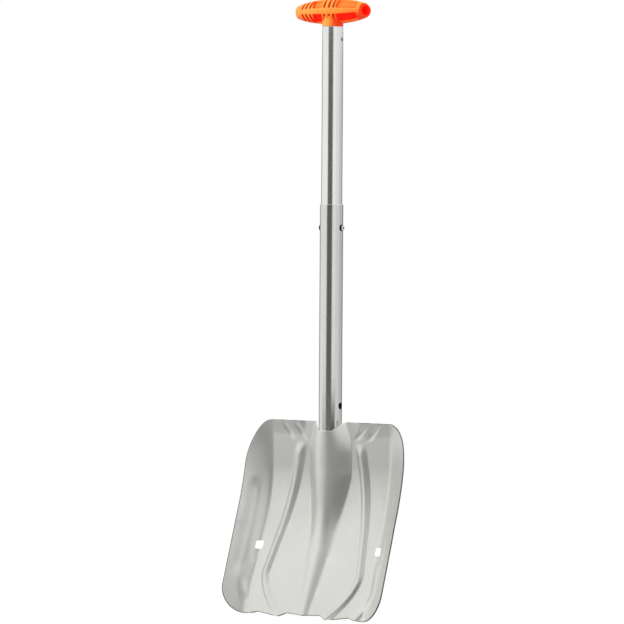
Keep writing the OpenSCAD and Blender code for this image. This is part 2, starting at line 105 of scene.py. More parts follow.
def along(t: float, spots: Sequence[tuple[float, float]]) -> float:
    """Reads a broken line at t.

    Args:
        t: where to read.
        spots: its corners, as pairs of a place and a value in rising order.

    Returns:
        The value there, held level past either end.
    """
    if t <= spots[0][0]:
        return spots[0][1]
    for (x0, y0), (x1, y1) in zip(spots, spots[1:]):
        if t <= x1:
            return mix(y0, y1, (t - x0) / (x1 - x0))
    return spots[-1][1]


def direction(azimuth: float, elevation: float) -> Vector:
    """The way from the shovel to a place round it.

    Args:
        azimuth: degrees from the front, to the right.
        elevation: degrees above the horizon.

    Returns:
        A unit vector.
    """
    a, e = math.radians(azimuth), math.radians(elevation)
    return Vector((math.sin(a) * math.cos(e), -math.cos(a) * math.cos(e), math.sin(e)))


# ---------------------------------------------------------------- shader graph


class Kind(Enum):
    """The node types that the finishes use."""

    ATTRIBUTE = "ShaderNodeAttribute"
    BACKGROUND = "ShaderNodeBackground"
    BUMP = "ShaderNodeBump"
    COORDS = "ShaderNodeTexCoord"
    DIFFUSE = "ShaderNodeBsdfDiffuse"
    EMISSION = "ShaderNodeEmission"
    GEOMETRY = "ShaderNodeNewGeometry"
    LIGHT_PATH = "ShaderNodeLightPath"
    MAPPING = "ShaderNodeMapping"
    MATH = "ShaderNodeMath"
    MIX = "ShaderNodeMix"
    MIX_SHADER = "ShaderNodeMixShader"
    NOISE = "ShaderNodeTexNoise"
    PRINCIPLED = "ShaderNodeBsdfPrincipled"
    SEPARATE = "ShaderNodeSeparateXYZ"


class Value:
    """Wraps an output socket, so that shader maths reads as plain expressions."""

    def __init__(self, graph: "Graph", socket: bpy.types.NodeSocket) -> None:
        """Keeps the graph and its socket."""
        self.graph = graph
        self.socket = socket

    def math(self, operation: str, *others: "Value | float") -> "Value":
        """Adds one Math node.

        Args:
            operation: the node's operation.
            others: its second and later inputs.

        Returns:
            The node's result.
        """
        return self.graph.maths(operation, self, *others)

    def __add__(self, other: "Value | float") -> "Value":
        """self + other."""
        return self.math("ADD", other)

    __radd__ = __add__

    def __sub__(self, other: "Value | float") -> "Value":
        """self - other."""
        return self.math("SUBTRACT", other)

    def __rsub__(self, other: "Value | float") -> "Value":
        """other - self."""
        return self.graph.maths("SUBTRACT", other, self)

    def __mul__(self, other: "Value | float") -> "Value":
        """self * other."""
        return self.math("MULTIPLY", other)

    __rmul__ = __mul__

    def __truediv__(self, other: "Value | float") -> "Value":
        """self / other."""
        return self.math("DIVIDE", other)

    def at_least(self, other: "Value | float") -> "Value":
        """The larger of self and other."""
        return self.math("MAXIMUM", other)

    def at_most(self, other: "Value | float") -> "Value":
        """The smaller of self and other."""
        return self.math("MINIMUM", other)

    def span(self, low: float, high: float) -> "Value":
        """0 at low, 1 at high, clamped.

        Args:
            low: the value that gives 0.
            high: the value that gives 1.

        Returns:
            The clamped share.
        """
        return ((self - low) * (1 / (high - low))).at_least(0.0).at_most(1.0)

    def between(self, low: float, high: float) -> "Value":
        """The value self of the way from low to high."""
        return self * (high - low) + low


class Graph:
    """The node tree of one material or world, with its output at hand."""

    def __init__(self, tree: bpy.types.NodeTree, output: str) -> None:
        """Empties the tree.

        Args:
            tree: the node tree.
            output: the type of its output node.
        """
        self.tree = tree
        tree.nodes.clear()
        self.output = tree.nodes.new(output)

    def put(self, socket: bpy.types.NodeSocket, value: Any) -> None:
        """Links a Value to an input socket, or sets a constant on it.

        Args:
            socket: the input.
            value: a Value, or a constant.
        """
        if isinstance(value, Value):
            self.tree.links.new(value.socket, socket)
        else:
            socket.default_value = value

    def close(self, shader: Value) -> None:
        """Links the finished shader to the output."""
        self.put(self.output.inputs[0], shader)

    def node(self, kind: Kind, out: str | int = 0, settings: dict[str, Any] | None = None,
             sockets: dict[int, Any] | None = None, **inputs: Any) -> Value:
        """Adds any node: its settings first, then its inputs.

        Args:
            kind: the node's type.
            out: the output to return, by name or number.
            settings: attributes of the node.
            sockets: values or links by socket number, where names repeat.
            inputs: values or links by socket name, with _ for a space.

        Returns:
            The chosen output.
        """
        made = self.tree.nodes.new(kind.value)
        for name, value in (settings or {}).items():
            setattr(made, name, value)
        for number, value in (sockets or {}).items():
            self.put(made.inputs[number], value)
        for name, value in inputs.items():
            self.put(made.inputs[name.replace("_", " ")], value)
        return Value(self, made.outputs[out])

    def maths(self, operation: str, *values: "Value | float") -> Value:
        """Adds a Math node.

        Args:
            operation: its operation.
            values: its inputs in order.

        Returns:
            Its result.
        """
        return self.node(Kind.MATH, 0, {"operation": operation}, dict(enumerate(values)))

    def blend(self, share: "Value | float", a: "Value | Colour", b: "Value | Colour") -> Value:
        """Mixes two colours.

        Args:
            share: 0 for a and 1 for b.
            a: first colour.
            b: second colour.

        Returns:
            The mixed colour.
        """
        start, end = (tone if isinstance(tone, Value) else (*tone, 1.0) for tone in (a, b))
        return self.node(Kind.MIX, 2, {"data_type": "RGBA"}, {0: share, 6: start, 7: end})

    def noise(self, scale: float, stretch: Point = (1.0, 1.0, 1.0), detail: float = 2.0) -> Value:
        """Noise in the part's own frame.

        Args:
            scale: cells a metre.
            stretch: how many times faster it varies along each axis.
            detail: octaves.

        Returns:
            The noise, about 0.5 on average.
        """
        place = self.node(Kind.COORDS, "Object")
        where = self.node(Kind.MAPPING, Vector=place, Scale=stretch)
        return self.node(Kind.NOISE, "Fac", Vector=where, Scale=scale, Detail=detail)

    def bump(self, height: Value, depth_mm: float) -> Value:
        """A Bump node for the Normal socket.

        Args:
            height: the relief, 0 to 1.
            depth_mm: how deep 1 is.

        Returns:
            The bent normal.
        """
        return self.node(Kind.BUMP, Height=height, Distance=depth_mm * MM, Strength=1.0)


def darker(colour: Colour, share: float) -> Colour:
    """A share of a colour's light."""
    return tuple(c * share for c in colour)


def new_material(name: str) -> tuple[bpy.types.Material, Graph]:
    """Starts a material with an empty graph."""
    material = bpy.data.materials.new(name)
    material.use_nodes = True
    return material, Graph(material.node_tree, "ShaderNodeOutputMaterial")


# ---------------------------------------------------------------- finishes


@dataclass(frozen=True)
class MouldedPlastic:
    """Coloured moulded plastic with a fine grain and painted shade, deeper in its recesses."""

    name: str
    colour: Colour
    recess_shade: Colour
    roughness: float = 0.42
    grain_mm: float = 0.02

    def material(self) -> bpy.types.Material:
        """Builds the material."""
        made, g = new_material(self.name)
        depth = g.node(Kind.ATTRIBUTE, "Fac", {"attribute_name": "recess"})
        broad = g.noise(CLOUDS, detail=3.0)
        mottled = g.blend(broad * 0.25, self.colour, darker(self.colour, 0.8))
        # Painted shade: the recesses take the darker second colour by their depth.
        g.close(g.node(Kind.PRINCIPLED, IOR=1.46, Base_Color=g.blend(depth, mottled, self.recess_shade),
                       Roughness=self.roughness + (broad - 0.5) * 0.16 + depth * 0.12,
                       Normal=g.bump(g.noise(GRAINS), self.grain_mm)))
        return made


@dataclass(frozen=True)
class GripPlastic:
    """Bright moulded plastic with painted light and shade: paler where it faces the light, deeper red where
    it faces away, painted shade in its recesses, and a painted red glow in the lower windows and the bore.
    """

    name: str
    # Painted light and shade: the pale, middle and low colours follow how far a face turns to the light; the
    # window and slot colours are painted shade in the pockets and the bore.
    pale: Colour = (0.88, 0.375, 0.075)
    middle: Colour = (0.98, 0.275, 0.04)
    low: Colour = (0.95, 0.06, 0.007)
    hollow_shade: Colour = (0.86, 0.01, 0.002)
    slot: Colour = (0.16, 0.018, 0.002)
    # Painted glow: an emission colour for red light in the lower windows and the bore.
    pocket_glow: Colour = (0.5, 0.003, 0.001)
    # The way the painted light comes from: up, to the left and towards the front.
    up: Point = (-1.05, -0.40, 0.73)
    half_m: float = 0.016
    roughness: float = 0.4
    grain_mm: float = 0.01

    def material(self) -> bpy.types.Material:
        """Builds the material."""
        made, g = new_material(self.name)
        # Painted light and shade by how far each face turns towards up.
        normal = g.node(Kind.GEOMETRY, "Normal")
        facing = sum((g.node(Kind.SEPARATE, axis, Vector=normal) * share
                      for axis, share in zip("XYZ", self.up)), start=g.maths("ADD", 0.0, 0.0))
        depth = g.node(Kind.ATTRIBUTE, "Fac", {"attribute_name": "recess"})
        broad = g.noise(CLOUDS, detail=3.0)
        tone = g.blend(facing.span(-0.35, 0.2), self.low, self.middle)
        tone = g.blend(facing.span(0.15, 0.6), tone, self.pale)
        tone = g.blend(broad.span(0.4, 0.75) * 0.2, tone, self.low)
        # Painted shade in the pockets: the middle colour in the upper ones, deep red in the lower ones, the
        # slot colour in the slots, and deep red in the bore.
        place = g.node(Kind.COORDS, "Object")
        above = (g.node(Kind.SEPARATE, "Z", Vector=place) / self.half_m).span(-0.15, 0.4)
        pocket, bore = depth.at_least(0.0).at_most(1.0), (depth * -1.0).at_least(0.0)
        tone = g.blend(pocket * above * 0.8, tone, self.middle)
        tone = g.blend(pocket * (1.0 - above * 0.8), tone, self.hollow_shade)
        tone = g.blend((depth - 1.0).at_least(0.0) * 0.85, tone, self.slot)
        tone = g.blend(bore, tone, self.hollow_shade)
        # Painted glow of red light in the lower windows and the bore.
        glow = pocket * (2.0 - depth).at_most(1.0) * (1.0 - above) * 0.6 + bore
        g.close(g.node(Kind.PRINCIPLED, IOR=1.46, Specular_IOR_Level=0.12, Base_Color=tone,
                       Roughness=self.roughness + (broad - 0.5) * 0.16 + pocket * 0.2,
                       Emission_Color=g.blend(glow, (0.0, 0.0, 0.0), self.pocket_glow), Emission_Strength=1.0,
                       Normal=g.bump(g.noise(GRAINS), self.grain_mm)))
        return made


@dataclass(frozen=True)
class SatinMetal:
    """Anodised or blasted metal sheet or tube."""

    name: str
    colour: Colour
    roughness: float
    metallic: float = 1.0
    grain_mm: float = 0.004
    drawn: Point = (1.0, 1.0, 1.0)
    rubbed: float = 0.12
    cloud_scale: float = 14.0
    line_scale: float = 1500.0
    rub_scale: float = 95.0

    def material(self) -> bpy.types.Material:
        """Builds the material."""
        made, g = new_material(self.name)
        cloud = g.noise(self.cloud_scale, detail=4.0)
        lines = g.noise(self.line_scale, self.drawn)
        worn = g.noise(self.rub_scale, detail=6.0).span(0.56, 0.72)
        tone = g.blend(cloud.span(0.3, 0.7) * 0.5, self.colour, darker(self.colour, 0.93))
        rough = self.roughness + (cloud - 0.5) * 0.08 + (lines - 0.5) * 0.08 - worn * 0.04
        g.close(g.node(Kind.PRINCIPLED, Base_Color=g.blend(worn * self.rubbed, tone, (0.9, 0.9, 0.9)),
                       Metallic=self.metallic, Roughness=rough, Normal=g.bump(lines, self.grain_mm)))
        return made


@dataclass(frozen=True)
class PolishedSteel:
    """Bright steel of the lock buttons, with faint handling marks and a painted dark reflection where a piece
    marks it.
    """

    name: str
    colour: Colour = (0.62, 0.62, 0.61)
    # A painted dark reflection, for the dark ring and spot on the dome.
    dark_reflection: Colour = (0.02, 0.02, 0.018)
    roughness: float = 0.12
    smear_scale: float = 420.0
    grain_scale: float = 3000.0
    grain_mm: float = 0.001

    def material(self) -> bpy.types.Material:
        """Builds the material."""
        made, g = new_material(self.name)
        smear = g.noise(self.smear_scale, detail=4.0)
        tone = g.blend(smear.span(0.45, 0.7) * 0.4, self.colour, darker(self.colour, 0.8))
        # Painted dark reflection: marked places take the dark colour.
        dark_reflection_share = g.node(Kind.ATTRIBUTE, "Fac", {"attribute_name": "dark_reflection"})
        g.close(g.node(Kind.PRINCIPLED, Metallic=1.0, Base_Color=g.blend(dark_reflection_share, tone, self.dark_reflection),
                       Roughness=self.roughness + smear * 0.08,
                       Normal=g.bump(g.noise(self.grain_scale), self.grain_mm)))
        return made


@dataclass(frozen=True)
class WeldBead:
    """A rippled bead of weld."""

    name: str
    colour: Colour = (0.6, 0.6, 0.59)
    roughness: float = 0.35
    ripple_scale: float = 420.0
    stretch: Point = (0.3, 0.3, 2.5)
    ripple_mm: float = 0.4

    def material(self) -> bpy.types.Material:
        """Builds the material."""
        made, g = new_material(self.name)
        ripple = g.noise(self.ripple_scale, self.stretch, 1.0)
        tone = g.blend(ripple, self.colour, darker(self.colour, 0.6))
        g.close(g.node(Kind.PRINCIPLED, Metallic=1.0, Base_Color=tone,
                       Roughness=self.roughness + ripple * 0.3, Normal=g.bump(ripple, self.ripple_mm)))
        return made


class Finish(Enum):
    """Every finish on the shovel."""

    GRIP = GripPlastic("orange_plastic")
    PLUG = MouldedPlastic("black_plastic", (0.03, 0.03, 0.03), (0.02, 0.02, 0.02), 0.5)
    UPPER_TUBE = SatinMetal("satin_upper_tube", (0.81, 0.815, 0.785), 0.2, grain_mm=0.0006, drawn=DRAWN)
    # Painted shade: the lower tube is a darker copy of the upper tube's metal, for the light that falls off
    # lower down.
    LOWER_TUBE = SatinMetal("satin_lower_tube_shaded", (0.69, 0.695, 0.665), 0.2, grain_mm=0.0006, drawn=DRAWN)
    # Painted shade: the inside of the tubes is near black, for the shade in them.
    BORE = SatinMetal("bore_shade", (0.06, 0.06, 0.06), 0.6, 0.5)
    BLADE = SatinMetal("satin_blade", (0.765, 0.775, 0.735), 0.42, 0.9, grain_mm=0.0015)
    BRACKET = SatinMetal("satin_bracket", (0.62, 0.62, 0.61), 0.42, 0.8)
    BUTTON = PolishedSteel("polished_button")
    SPRING = SatinMetal("satin_spring", (0.45, 0.45, 0.46), 0.3, drawn=(0.3, 8.0, 0.3))
    PIN = SatinMetal("satin_pin", (0.3, 0.3, 0.31), 0.35)
    CUT_EDGE = SatinMetal("bare_cut_edge", (0.9, 0.9, 0.89), 0.3, rubbed=0.0)
    # A dark colour for the blade's cut edges away from the mouth.
    WORN_EDGE = SatinMetal("dark_cut_edge", (0.16, 0.16, 0.15), 0.45)
    WELD = WeldBead("weld_bead")

    @property
    def material(self) -> bpy.types.Material:
        """The material, made once."""
        name = self.value.name
        return bpy.data.materials.get(name) or self.value.material()


# ---------------------------------------------------------------- mesh helpers


def box_mm(node: str) -> tuple[Vector, Vector]:
    """The low and high corner of a node's box, in millimetres."""
    low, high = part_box(node)
    return low / MM, high / MM


def new_object(name: str, data: bpy.types.ID) -> bpy.types.Object:
    """Links a new object that holds some data."""
    made = bpy.data.objects.new(name, data)
    bpy.context.scene.collection.objects.link(made)
    return made


def new_piece(name: str, points: Sequence[Sequence[float]], faces: Sequence[Sequence[int]],
              *finishes: Finish) -> bpy.types.Object:
    """Makes an object from points in millimetres.

    Args:
        name: the piece's name.
        points: its corners.
        faces: lists of corner numbers.
        finishes: its finishes, one for each slot.

    Returns:
        The linked object.
    """
    mesh = bpy.data.meshes.new(name)
    mesh.from_pydata([[c * MM for c in p] for p in points], [], [list(f) for f in faces])
    for finish in finishes:
        mesh.materials.append(finish.material)
    return new_object(name, mesh)


def face_out(piece: bpy.types.Object) -> None:
    """Turns every face of a closed piece outwards."""
    made = bmesh.new()
    made.from_mesh(piece.data)
    bmesh.ops.recalc_face_normals(made, faces=made.faces)
    made.to_mesh(piece.data)
    made.free()


def shade(piece: bpy.types.Object, sharp_deg: float) -> None:
    """Shades a piece smooth, with edges sharper than an angle left crisp.

    Args:
        piece: the object.
        sharp_deg: the angle in degrees.
    """
    made = bmesh.new()
    made.from_mesh(piece.data)
    bmesh.ops.recalc_face_normals(made, faces=made.faces)
    for face in made.faces:
        face.smooth = True
    limit = math.radians(sharp_deg)
    for edge in made.edges:
        edge.smooth = len(edge.link_faces) == 2 and edge.calc_face_angle(0.0) < limit
    made.to_mesh(piece.data)
    made.free()


def grid_faces(across: int, down: int, closed: bool, start: int = 0) -> list[list[int]]:
    """Quads between rings of points.

    Args:
        across: points in each ring.
        down: number of rings.
        closed: whether a ring's last point joins its first.
        start: number of the first point.

    Returns:
        The quads.
    """
    width = across if closed else across - 1
    return [[start + r * across + c, start + r * across + (c + 1) % across,
             start + (r + 1) * across + (c + 1) % across, start + (r + 1) * across + c]
            for r in range(down - 1) for c in range(width)]


def around(sides: int, span: float = 2 * math.pi) -> list[float]:
    """Angles in equal steps, from 0 and short of the span."""
    return [span * k / sides for k in range(sides)]


def loft(name: str, rings: Sequence[Sequence[Sequence[float]]], finishes: Sequence[Finish],
         looped: bool = False) -> bpy.types.Object:
    """Skins a solid over rings of points.

    Args:
        name: the piece's name.
        rings: rings with the same number of points, in millimetres.
        finishes: its finishes.
        looped: whether the last ring joins the first. Otherwise both ends are capped.

    Returns:
        The object.
    """
    count = len(rings[0])
    last = count * (len(rings) - 1)
    faces = grid_faces(count, len(rings), True)
    if looped:
        faces += [[last + c, last + (c + 1) % count, (c + 1) % count, c] for c in range(count)]
    else:
        faces += [list(range(count))[::-1], list(range(last, last + count))]
    return new_piece(name, [p for ring in rings for p in ring], faces, *finishes)


def lathe(name: str, profile: Sequence[tuple[float, float]], finishes: Sequence[Finish],
          edge_steps: Sequence[int] = (), bore_step: int = -1, sides: int = 144) -> bpy.types.Object:
    """Turns a closed profile about Z.

    Args:
        name: the piece's name.
        profile: pairs of radius and height in millimetres, round the section.
        finishes: its finish, and that of its cut edges.
        edge_steps: the steps of the profile that are cut edges.
        bore_step: the step that is the bore, with the last finish.
        sides: points round it.

    Returns:
        The object.
    """
    rings = [[(r * math.cos(a), r * math.sin(a), z) for a in around(sides)] for r, z in profile]
    piece = loft(name, rings, finishes, True)
    for face in piece.data.polygons:
        step = face.index // sides
        if step in edge_steps:
            face.material_index = 1
        elif step == bore_step:
            face.material_index = len(finishes) - 1
    return piece


def cut(piece: bpy.types.Object, cutters: Iterable[bpy.types.Object]) -> None:
    """Cuts solids out of a piece and deletes them. The cut takes the piece's last finish.

    Args:
        piece: the object that stays.
        cutters: the solids.
    """
    last = len(piece.data.materials) - 1
    face_out(piece)
    for cutter in cutters:
        face_out(cutter)
        for face in cutter.data.polygons:
            face.material_index = last
        modifier = piece.modifiers.new("cut", "BOOLEAN")
        modifier.operation = "DIFFERENCE"
        modifier.solver = "EXACT"
        modifier.object = cutter
        with bpy.context.temp_override(object=piece, active_object=piece):
            bpy.ops.object.modifier_apply(modifier=modifier.name)
        bpy.data.objects.remove(cutter)


def rod(radius: float, start: Point, end: Point, finish: Finish, sides: int = 48) -> bpy.types.Object:
    """A plain round solid used to cut a hole.

    Args:
        radius: its radius.
        start: one end.
        end: the other end.
        finish: the finish that the cut gets.
        sides: points round it.

    Returns:
        The object.
    """
    turn = (Vector(end) - Vector(start)).to_track_quat("Z", "Y")
    ring = [turn @ Vector((radius * math.cos(a), radius * math.sin(a), 0)) for a in around(sides)]
    return loft("cutter", [[Vector(spot) + p for p in ring] for spot in (start, end)], (finish,))


def dress(node: str, finish: Finish, rounding_mm: float = 0.0) -> None:
    """Gives a carried-over node its finish.

    Args:
        node: the node's name.
        finish: its finish.
        rounding_mm: width of the rounding on its edges, or 0.
    """
    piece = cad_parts[node]
    piece.data.materials.clear()
    piece.data.materials.append(finish.material)
    if rounding_mm:
        rounding = piece.modifiers.new("rounding", "BEVEL")
        rounding.width = rounding_mm * MM
        rounding.segments = 2
        rounding.limit_method = "ANGLE"
        rounding.angle_limit = math.radians(50)
        rounding.harden_normals = True
    LOG.info("%s: %s", node, finish.value.name)


def settle(piece: bpy.types.Object, body: str, slot: str, *nodes: str) -> None:
    """Puts a finished piece in its node's place.

    Args:
        piece: the piece.
        body: the body that it rides on.
        slot: its material slot in the record; not used.
        nodes: the nodes that it stands for.
    """
    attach(piece, body)
    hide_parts(*nodes)
    LOG.info("%s: %d faces on %s", piece.name, len(piece.data.polygons), body)


# ---------------------------------------------------------------- blade


@dataclass
class Blade:
    """The pressed sheet. A place on it is x, its distance from the middle, and v, below the top edge."""

    top_z: float
    shaft_r: float
    width: float = 231.6
    height: float = 242.0
    sheet: float = 1.8
    face_back: float = 2.0
    bend_start: float = 55.0
    bend_end: float = 142.0
    bend_angle: float = 26.5
    wall_foot: float = 84.0
    wall_top_h: float = 8.0
    wall_mid_h: float = 29.5
    wall_mid_v: float = 130.0
    wall_low_h: float = 19.0
    wall_groove: float = 2.0
    wall_soft: float = 0.2
    wall_rise: float = 1.6
    groove_at: float = 0.62
    groove_half: float = 0.26
    groove_top_v: float = 70.0
    groove_end_up: float = 42.0
    groove_fade: float = 22.0
    top_corner_x: float = 29.5
    top_corner_v: float = 60.0
    low_corner_v: float = 36.0
    low_corner_power: float = 1.8
    lip_lean: float = 2.5
    lip_h: float = 18.0
    lip_from: float = 46.0
    lip_blend: float = 10.0
    lip_curve: float = 1.3
    dart_depth: float = 1.4
    dart_mid_v: float = 12.0
    dart_reach: float = 14.0
    dart_half: float = 6.0
    dart_lean: float = 0.7
    dart_x: tuple[float, float] = (45.0, 63.0)
    tooth_h: float = 3.6
    tooth_flat: float = 3.0
    tooth_run: float = 10.0
    rib_curve: float = 1.75
    inner_rib: tuple[float, ...] = (3.0, 9.0, 6.3, 34.0, 44.0, 50.0, 68.5, 37.0)
    outer_rib: tuple[float, ...] = (1.6, 6.0, 6.0, 178.0, 91.0, 39.0, 96.0, 76.0)
    ridge_h: float = 5.5
    ridge_low_h: float = 2.0
    ridge_low_half: float = 8.0
    ridge_taper: float = 1.2
    socket_gap: float = 0.5
    dome_half: float = 31.0
    dome_wide_v: float = 40.0
    dome_fall_v: float = 66.0
    dome_point_v: float = 166.0
    dome_point_half: float = 9.0
    dome_taper: float = 1.15
    dome_power: float = 0.8
    mouth_half: float = 22.0
    mouth_dip: float = 10.5
    mouth_flat_half: float = 9.0
    sling_x: float = 87.0
    sling_v: float = 161.0
    sling_size: float = 10.5
    sling_round: float = 2.5
    mid_cols: int = 156
    corner_cols: int = 22
    rows: int = 210
    rim: float = 0.5
    crisp_deg: float = 38.0

    def __post_init__(self) -> None:
        """Works out what follows from the sizes."""
        self.down = self.rows + 1
        self.across = self.mid_cols + 2 * self.corner_cols + 1
        self.half_w = self.width / 2
        self.corner_start = self.half_w - self.top_corner_x
        self.dome_h = self.face_back + self.shaft_r + self.socket_gap + self.sheet
        self.slope = math.tan(math.radians(self.bend_angle))

    def face_y(self, v: float) -> float:
        """The flat face and its bend."""
        q = min(max(v, self.bend_start), self.bend_end) - self.bend_start
        return (self.face_back - self.slope * q * q / (2 * (self.bend_end - self.bend_start))
                - self.slope * max(v - self.bend_end, 0.0))

    def walls(self, x: float, v: float) -> float:
        """Height of the side walls, with the groove along each."""
        t = (x - self.wall_foot) / (self.half_w - self.wall_foot)
        if t <= 0:
            return 0.0
        if v < self.wall_mid_v:
            rise = (1 - max(v, 0.0) / self.wall_mid_v) ** self.wall_rise
            high = mix(self.wall_mid_h, self.wall_top_h, rise)
        else:
            high = mix(self.wall_mid_h, self.wall_low_h,
                       (v - self.wall_mid_v) / (self.height - self.wall_mid_v))
        soft = self.wall_soft
        shape = (math.hypot(t, soft) - soft) / (math.hypot(1, soft) - soft)
        end = self.height - self.groove_end_up
        groove = (self.wall_groove * bell((t - self.groove_at) / self.groove_half)
                  * ease(self.groove_top_v, self.groove_top_v + self.groove_fade, v)
                  * (1 - ease(end - self.groove_fade, end, v)))
        return high * shape - groove

    def rib(self, x: float, v: float, sizes: tuple[float, ...]) -> float:
        """Height of one pair of ribs.

        Args:
            x: distance from the middle.
            v: distance below the top edge.
            sizes: height, half width at the top and low down, v and x of its top, its widest
                place's height above the cutting edge and x, and x of its end.

        Returns:
            The rib's height there.
        """
        high, half, low_half, top_v, top_x, wide_up, wide_x, end_x = sizes
        wide_v = self.height - wide_up

        def crest_x(at: float) -> float:
            """Where the rib's crest lies."""
            if at < wide_v:
                return mix(top_x, wide_x, (at - top_v) / (wide_v - top_v))
            return mix(wide_x, end_x, ((at - wide_v) / (self.height - wide_v)) ** self.rib_curve)

        crest = crest_x(v)
        slant = math.hypot(1.0, crest_x(v + 1.0) - crest)
        w = mix(half, low_half, unit((v - top_v) / (wide_v - top_v))) * slant
        return high * bell((x - crest) / w) * ease(top_v - half, top_v + half, v)

    def spread(self, v: float, low_v: float, low_half: float, taper: float) -> float:
        """Half width of the dome or ridge: flaring from its mouth, then narrowing.

        Args:
            v: distance below the top edge.
            low_v: where it ends.
            low_half: its half width there.
            taper: how the narrowing curves.

        Returns:
            The half width.
        """
        if v < self.dome_fall_v:
            share = math.sin(math.pi / 2 * unit(v / self.dome_wide_v))
            return mix(self.mouth_half, self.dome_half, share)
        t = unit((v - self.dome_fall_v) / (low_v - self.dome_fall_v))
        return mix(self.dome_half, low_half, t ** taper)

    def middle(self, x: float, v: float) -> float:
        """Height of the ridge and of the dome on it."""
        foot = self.spread(v, self.dome_point_v, self.dome_point_half, self.dome_taper)
        half = self.spread(v, self.height, self.ridge_low_half, self.ridge_taper)
        s = x / foot
        dome = 0.0
        if s < 1:
            dome = ((self.dome_h - self.ridge_h) * (1 - ease(self.dome_fall_v, self.dome_point_v, v))
                    * (1 - s * s) ** self.dome_power)
        low = unit((v - self.dome_point_v) / (self.height - self.dome_point_v))
        return dome + bell(x / half) * mix(self.ridge_h, self.ridge_low_h, low)

    def lip(self, x: float, v: float) -> float:
        """Forward lean of the top edge, less the creases in it."""
        lean = self.lip_lean * unit(1 - v / self.lip_h) ** self.lip_curve
        shift = self.dart_lean * (self.dart_mid_v - v)
        creases = sum(bell((x - at - shift) / self.dart_half) for at in self.dart_x)
        return (lean * ease(self.lip_from - self.lip_blend, self.lip_from, x)
                - self.dart_depth * bell((v - self.dart_mid_v) / self.dart_reach) * creases)

    def front_y(self, px: float, v: float) -> float:
        """Where the front of the sheet lies along Y."""
        x = abs(px)
        return (self.face_y(v) - self.walls(x, v) - self.rib(x, v, self.inner_rib)
                - self.rib(x, v, self.outer_rib) - self.middle(x, v) - self.lip(x, v))

    def top_v(self, x: float) -> float:
        """The top outline."""
        if x < self.corner_start:
            return self.mouth_dip * (1 - ease(self.mouth_flat_half, self.mouth_half, x))
        share = unit((x - self.corner_start) / self.top_corner_x)
        return self.top_corner_v * (1 - math.sqrt(1 - share * share))

    def low_v(self, x: float) -> float:
        """The cutting edge."""
        inner, outer = self.inner_rib[-1], self.outer_rib[-1]
        spots = [(0.0, 0.2), (inner - self.tooth_flat - self.tooth_run, -0.2),
                 (inner - self.tooth_flat, 1.0), (inner + self.tooth_flat, 1.0),
                 (outer - self.tooth_run, 0.0), (outer + self.tooth_flat, 0.8)]
        if x < self.corner_start:
            return self.height + self.tooth_h * along(x, spots)
        share = unit((x - self.corner_start) / self.top_corner_x)
        power = self.low_corner_power
        return (self.height + self.tooth_h * along(self.corner_start, spots) - self.low_corner_v
                + self.low_corner_v * (1 - share ** power) ** (1 / power))

    def columns(self, inset: float) -> list[float]:
        """Places of the grid's columns along X, drawn in by inset at the sides."""
        half = self.mid_cols // 2
        flat = [self.corner_start * k / half for k in range(half + 1)]
        reach = self.top_corner_x - inset
        turn = [self.corner_start + reach * math.sin(math.pi / 2 * k / self.corner_cols)
                for k in range(1, self.corner_cols + 1)]
        right = flat + turn
        return [-x for x in right[:0:-1]] + right

    def layer(self, inset: float, depth: float) -> list[Point]:
        """One layer of grid points.

        Args:
            inset: distance of its border inside the sheet's outline.
            depth: its share of the sheet's thickness behind the front.

        Returns:
            The points, column by column.
        """
        step = 0.05
        made = []
        for x in self.columns(inset):
            wide = min(abs(x) * self.half_w / (self.half_w - inset), self.half_w)
            top, low = self.top_v(wide) + inset, self.low_v(wide) - inset
            if low - top < inset:
                top = low = (top + low) / 2
            for j in range(self.rows + 1):
                v = mix(top, low, j / self.rows)
                y = self.front_y(x, v)
                normal = Vector(((y - self.front_y(x + step, v)) / step, 1.0,
                                 (self.front_y(x, v + step) - y) / step)).normalized()
                made.append(tuple(Vector((x, y, self.top_z - v)) + normal * (depth * self.sheet)))
        return made

    def border(self) -> list[int]:
        """Numbers of a layer's border points, in order round it."""
        down, across = self.down, self.across
        return ([i * down for i in range(across)]
                + [(across - 1) * down + j for j in range(1, down)]
                + [i * down + down - 1 for i in range(across - 2, -1, -1)]
                + [j for j in range(down - 2, 0, -1)])

    def build(self) -> bpy.types.Object:
        """Builds the sheet with its rounded cut edge and its sling holes.

        Returns:
            The piece.
        """
        down, across = self.down, self.across
        front, back = self.layer(self.rim, 0.0), self.layer(self.rim, 1.0)
        points = front + back
        faces = grid_faces(down, across, False)
        faces += [f[::-1] for f in grid_faces(down, across, False, len(front))]
        border = self.border()
        rings = [border]
        for share, depth in ((0.3, 0.12), (0.0, 0.5), (0.3, 0.88)):
            layer = self.layer(self.rim * share, depth)
            rings.append(list(range(len(points), len(points) + len(border))))
            points += [layer[k] for k in border]
        rings.append([k + len(front) for k in border])
        sheet_faces = len(faces)
        for near, far in zip(rings, rings[1:]):
            pairs = list(zip(near, far))
            faces += [[a, b, d, c] for (a, c), (b, d) in zip(pairs, pairs[1:] + pairs[:1])]
        piece = new_piece("blade_sheet", points, faces, Finish.BLADE, Finish.WORN_EDGE, Finish.CUT_EDGE)
        # The cut edges at the mouth are bare and bright; the rest take the dark edge colour.
        for face in piece.data.polygons[sheet_faces:]:
            x, _, z = face.center / MM
            face.material_index = 2 if abs(x) < self.mouth_half and z > self.top_z - self.lip_h else 1
        cut(piece, [self.sling_cutter(side) for side in (-1, 1)])
        shade(piece, self.crisp_deg)
        settle(piece, "blade", "blade_sheet", "blade")
        return piece

